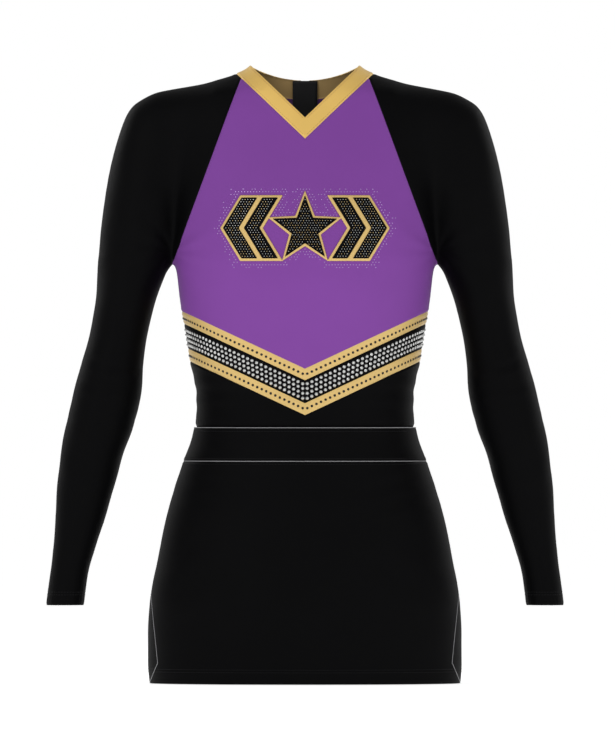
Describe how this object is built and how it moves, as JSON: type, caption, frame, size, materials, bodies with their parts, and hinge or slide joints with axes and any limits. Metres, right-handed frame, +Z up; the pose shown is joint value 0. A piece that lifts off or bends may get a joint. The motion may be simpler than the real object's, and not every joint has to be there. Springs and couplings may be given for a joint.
{
  "type": "cheer uniform",
  "caption": "Two-piece cheer uniform: a long-sleeved raglan top with V neck, chest applique and crystal chevron trim, and a short fitted skirt with a separate waistband.",
  "frame": {"origin": "centre of the skirt hem, in the plane of the hem", "axes": "+Z up the body, front of the garment towards -Y, wearer's left towards +X"},
  "size_m": [0.5698, 0.2385, 0.6791],
  "materials": {
    "purple_knit": "matt four-way stretch knit",
    "black_knit": "matt four-way stretch knit",
    "gold_trim": "satin metallic gold stretch fabric",
    "crystal": "black stretch fabric set with clear faceted crystals",
    "black_sparkle": "black fabric with a fine dotted sparkle",
    "elastic": "woven elastic",
    "piping": "pale grey stitching",
    "zip_tape": "woven tape",
    "zip_coil": "moulded nylon coil",
    "zip_metal": "dark plated metal"
  },
  "bodies": {
    "skirt": {"skirt_front_panel": "black_knit", "skirt_back_left": "black_knit", "skirt_back_right": "black_knit", "side_gusset_left": "black_knit", "side_gusset_right": "black_knit", "waistband_front": "black_knit", "waistband_back_left": "black_knit", "waistband_back_right": "black_knit", "waist_elastic": "elastic", "waist_piping_upper": "piping", "waist_piping_lower": "piping", "gusset_piping_left": "piping", "gusset_piping_right": "piping", "skirt_zip_tape_left": "zip_tape", "skirt_zip_tape_right": "zip_tape", "skirt_zip_coil_left": "zip_coil", "skirt_zip_coil_right": "zip_coil"},
    "skirt_slider": {"skirt_zip_slider": "zip_metal"},
    "skirt_pull": {"skirt_zip_pull": "zip_metal"},
    "top": {"front_panel": "purple_knit", "back_panel_left": "purple_knit", "back_panel_right": "purple_knit", "neck_band_front": "gold_trim", "neck_band_back_left": "gold_trim", "neck_band_back_right": "gold_trim", "chevron_upper_front": "gold_trim", "chevron_upper_back_left": "gold_trim", "chevron_upper_back_right": "gold_trim", "crystal_band_front": "crystal", "crystal_band_back_left": "crystal", "crystal_band_back_right": "crystal", "chevron_lower_front": "gold_trim", "chevron_lower_back_left": "gold_trim", "chevron_lower_back_right": "gold_trim", "waist_panel_front": "black_knit", "waist_panel_back_left": "black_knit", "waist_panel_back_right": "black_knit", "raglan_cap_left": "black_knit", "raglan_cap_right": "black_knit", "emblem_backing": "gold_trim", "emblem_star": "black_sparkle", "emblem_inner_left": "black_sparkle", "emblem_inner_right": "black_sparkle", "emblem_outer_left": "black_sparkle", "emblem_outer_right": "black_sparkle", "top_zip_tape_left": "zip_tape", "top_zip_tape_right": "zip_tape", "top_zip_coil_left": "zip_coil", "top_zip_coil_right": "zip_coil"},
    "top_slider": {"top_zip_slider": "zip_metal"},
    "top_pull": {"top_zip_pull": "zip_metal"},
    "upper_sleeve_left": {"sleeve_upper_left": "black_knit"},
    "upper_sleeve_right": {"sleeve_upper_right": "black_knit"},
    "lower_sleeve_left": {"sleeve_lower_left": "black_knit", "cuff_elastic_left": "elastic"},
    "lower_sleeve_right": {"sleeve_lower_right": "black_knit", "cuff_elastic_right": "elastic"}
  },
  "joints": [
    {"name": "top_lift", "type": "slide", "parent": "skirt", "child": "top", "axis": [0, 0, 1], "range_m": [0, 0.1]},
    {"name": "top_zip_slide", "type": "slide", "parent": "top", "child": "top_slider", "axis": [0, 0.0267, -0.9996], "range_m": [0, 0.32]},
    {"name": "top_zip_pull_swing", "type": "hinge", "parent": "top_slider", "child": "top_pull", "pos_m": [0, 0.07375, 0.64891], "axis": [1, 0, 0], "range_deg": [0, 165]},
    {"name": "skirt_zip_slide", "type": "slide", "parent": "skirt", "child": "skirt_slider", "axis": [0, 0.2053, -0.9787], "range_m": [0, 0.11]},
    {"name": "skirt_zip_pull_swing", "type": "hinge", "parent": "skirt_slider", "child": "skirt_pull", "pos_m": [0, 0.08889, 0.26536], "axis": [1, 0, 0], "range_deg": [0, 165]},
    {"name": "shoulder_left", "type": "hinge", "parent": "top", "child": "upper_sleeve_left", "pos_m": [0.172, 0, 0.608], "axis": [0, -1, 0], "range_deg": [0, 60]},
    {"name": "shoulder_right", "type": "hinge", "parent": "top", "child": "upper_sleeve_right", "pos_m": [-0.172, 0, 0.608], "axis": [0, 1, 0], "range_deg": [0, 60]},
    {"name": "elbow_left", "type": "hinge", "parent": "upper_sleeve_left", "child": "lower_sleeve_left", "pos_m": [0.2128, 0, 0.342], "axis": [-0.9799, 0, -0.1994], "range_deg": [0, 90]},
    {"name": "elbow_right", "type": "hinge", "parent": "upper_sleeve_right", "child": "lower_sleeve_right", "pos_m": [-0.2128, 0, 0.342], "axis": [-0.9799, 0, 0.1994], "range_deg": [0, 90]}
  ]
}
